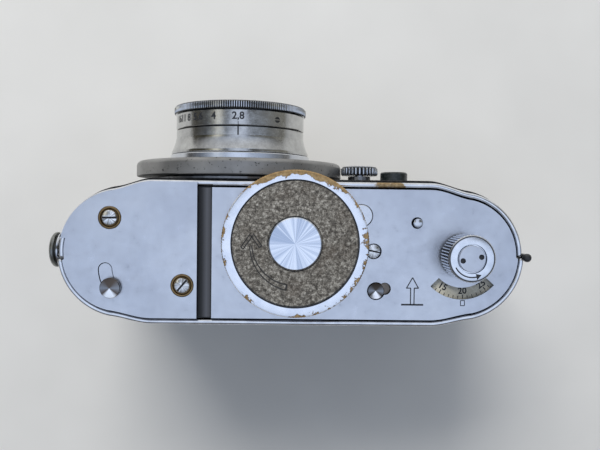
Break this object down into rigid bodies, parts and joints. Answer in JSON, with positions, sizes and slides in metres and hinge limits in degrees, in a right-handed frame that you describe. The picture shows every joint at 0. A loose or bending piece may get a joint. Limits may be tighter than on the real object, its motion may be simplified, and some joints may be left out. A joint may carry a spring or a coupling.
{
  "type": "spring-motor film camera",
  "caption": "Vintage 35 mm viewfinder camera with a spring motor wound by a large knob in the base, lying on its top with the lens forward.",
  "frame": {"origin": "on the flat face of the finder hump that the camera lies on, under the middle of the body", "axes": "+X along the body towards the rewind end, +Y where the lens points, +Z out of the base, which faces up"},
  "size_m": [0.122, 0.059, 0.0782],
  "materials": {
    "satin_chrome": "satin chrome plate",
    "bright_chrome": "polished chrome, worn to brass on edges",
    "lens_steel": "turned and polished",
    "flange_grey": "satin grey, speckled",
    "black_leather": "grained black covering",
    "black_paint": "semi-matt black",
    "grip_disc": "worn grained insert",
    "brass": "plain brass",
    "steel": "machined",
    "dial_white": "off-white enamel with plain black numbers",
    "glass": "coated optical glass",
    "film_can": "lacquered tin",
    "casting": "cast, painted dark"
  },
  "bodies": {
    "camera": {"accessory_shoe": "bright_chrome", "base_plate": "satin_chrome", "base_screw": "bright_chrome", "chassis": "casting", "cover_disc": "bright_chrome", "cover_screw_a": "bright_chrome", "cover_screw_b": "bright_chrome", "cup_washer_a": "brass", "cup_washer_b": "brass", "film_cassette": "film_can", "film_gate": "steel", "finder_eyepiece": "glass", "finder_front_glass": "glass", "front_leather": "black_leather", "front_shell": "bright_chrome", "hinge_pin": "black_paint", "latch_collar": "bright_chrome", "left_cover": "satin_chrome", "lens_flange": "flange_grey", "lens_mount": "steel", "lens_ring": "bright_chrome", "light_chamber": "black_paint", "release_collar": "bright_chrome", "shutter_curtain": "black_leather", "speed_hub": "steel", "sync_contact": "brass", "sync_socket": "black_paint", "top_housing": "satin_chrome"},
    "winder": {"winding_knob": "bright_chrome", "knob_grip_disc": "grip_disc", "knob_cap": "bright_chrome", "winding_arbor": "steel"},
    "motor": {"spring_barrel": "brass", "mainspring": "steel"},
    "idler": {"idler_wheel": "brass"},
    "sprocket": {"sprocket": "steel"},
    "take_up": {"take_up_spool": "black_paint"},
    "counter": {"counter_dial": "dial_white"},
    "curtain_drum": {"curtain_drum": "steel"},
    "curtain_roller": {"curtain_roller": "steel"},
    "rewind_lift": {"rewind_bush": "brass"},
    "rewind": {"rewind_knob": "bright_chrome", "rewind_insert": "satin_chrome", "rewind_shaft": "steel"},
    "slider": {"slider": "bright_chrome"},
    "motor_stop": {"motor_stop": "bright_chrome"},
    "rewind_pin": {"rewind_pin": "bright_chrome"},
    "focus": {"focus_barrel": "lens_steel", "lens_tube": "black_paint", "lens_bezel": "black_paint", "front_glass": "glass", "rear_glass": "glass"},
    "aperture": {"aperture_ring": "lens_steel", "lens_front_ring": "bright_chrome"},
    "speed_dial": {"speed_dial": "bright_chrome"},
    "release": {"release_button": "bright_chrome"},
    "door": {"back_door": "bright_chrome", "back_leather": "black_leather"},
    "pressure_plate": {"pressure_plate": "black_paint"},
    "latch": {"latch_stud": "bright_chrome"}
  },
  "joints": [
    {"name": "winder_turn", "type": "hinge", "parent": "camera", "child": "winder", "pos_m": [0.0008, 0.0026, 0.0697], "axis": [0, 0, 1], "range_deg": [-1440, 0]},
    {"name": "motor_turn", "type": "hinge", "parent": "camera", "child": "motor", "pos_m": [0.0008, 0.0026, 0.0576], "axis": [0, 0, 1], "continuous": true},
    {"name": "idler_turn", "type": "hinge", "parent": "camera", "child": "idler", "pos_m": [-0.02382, -0.00361, 0.0576], "axis": [0, 0, 1], "continuous": true},
    {"name": "sprocket_turn", "type": "hinge", "parent": "camera", "child": "sprocket", "pos_m": [-0.042, -0.0082, 0.0174], "axis": [0, 0, 1], "continuous": true},
    {"name": "take_up_turn", "type": "hinge", "parent": "camera", "child": "take_up", "pos_m": [-0.0476, 0.0054, 0.0174], "axis": [0, 0, 1], "continuous": true},
    {"name": "counter_turn", "type": "hinge", "parent": "camera", "child": "counter", "pos_m": [0.04285, -0.0004, 0.0675], "axis": [0, 0, 1], "continuous": true},
    {"name": "curtain_drum_turn", "type": "hinge", "parent": "camera", "child": "curtain_drum", "pos_m": [0.0099, -0.0072, 0.0174], "axis": [0, 0, 1], "range_deg": [-620, 0]},
    {"name": "curtain_roller_turn", "type": "hinge", "parent": "camera", "child": "curtain_roller", "pos_m": [-0.0377, 0.0034, 0.0174], "axis": [0, 0, 1], "range_deg": [-1116, 0]},
    {"name": "rewind_pull", "type": "slide", "parent": "camera", "child": "rewind_lift", "axis": [0, 0, 1], "range_m": [0, 0.005]},
    {"name": "rewind_turn", "type": "hinge", "parent": "rewind_lift", "child": "rewind", "pos_m": [0.04285, -0.0004, 0.0696], "axis": [0, 0, 1], "continuous": true},
    {"name": "slider_swing", "type": "hinge", "parent": "camera", "child": "slider", "pos_m": [-0.0366, -0.004, 0.0664], "axis": [0, 0, 1], "range_deg": [-28, 0]},
    {"name": "motor_stop_turn", "type": "hinge", "parent": "camera", "child": "motor_stop", "pos_m": [0.0213, -0.0095, 0.0646], "axis": [0, 0, 1], "range_deg": [0, 60]},
    {"name": "rewind_pin_press", "type": "slide", "parent": "camera", "child": "rewind_pin", "axis": [0, 0, 1], "range_m": [-0.0012, 0], "stiffness_N_per_m": 250},
    {"name": "focus_turn", "type": "hinge", "parent": "camera", "child": "focus", "pos_m": [-0.0155, 0.0178, 0.038], "axis": [0, 1, 0], "range_deg": [-90, 0]},
    {"name": "aperture_turn", "type": "hinge", "parent": "focus", "child": "aperture", "pos_m": [-0.0155, 0.0178, 0.038], "axis": [0, 1, 0], "range_deg": [0, 80]},
    {"name": "speed_dial_turn", "type": "hinge", "parent": "camera", "child": "speed_dial", "pos_m": [0.0193, 0.0178, 0.044], "axis": [0, 1, 0], "range_deg": [0, 300]},
    {"name": "release_press", "type": "slide", "parent": "camera", "child": "release", "axis": [0, 0, 1], "range_m": [0, 0.0011], "stiffness_N_per_m": 300},
    {"name": "door_swing", "type": "hinge", "parent": "camera", "child": "door", "pos_m": [0.0593, -0.0007, 0], "axis": [0, 0, 1], "range_deg": [0, 100]},
    {"name": "pressure_plate_float", "type": "slide", "parent": "door", "child": "pressure_plate", "axis": [0, 1, 0], "range_m": [-0.0004, 0.0005], "stiffness_N_per_m": 400},
    {"name": "latch_turn", "type": "hinge", "parent": "camera", "child": "latch", "pos_m": [-0.0583, -0.0004, 0.0625], "axis": [1, 0, 0], "range_deg": [0, 90]}
  ],
  "couplings": [
    {"joint": "idler_turn", "follows": "motor_turn", "ratio": -0.9767},
    {"joint": "sprocket_turn", "follows": "motor_turn", "ratio": 2.1565},
    {"joint": "take_up_turn", "follows": "motor_turn", "ratio": 2.4},
    {"joint": "counter_turn", "follows": "motor_turn", "ratio": 0.03921},
    {"joint": "curtain_roller_turn", "follows": "curtain_drum_turn", "ratio": 1.8}
  ]
}
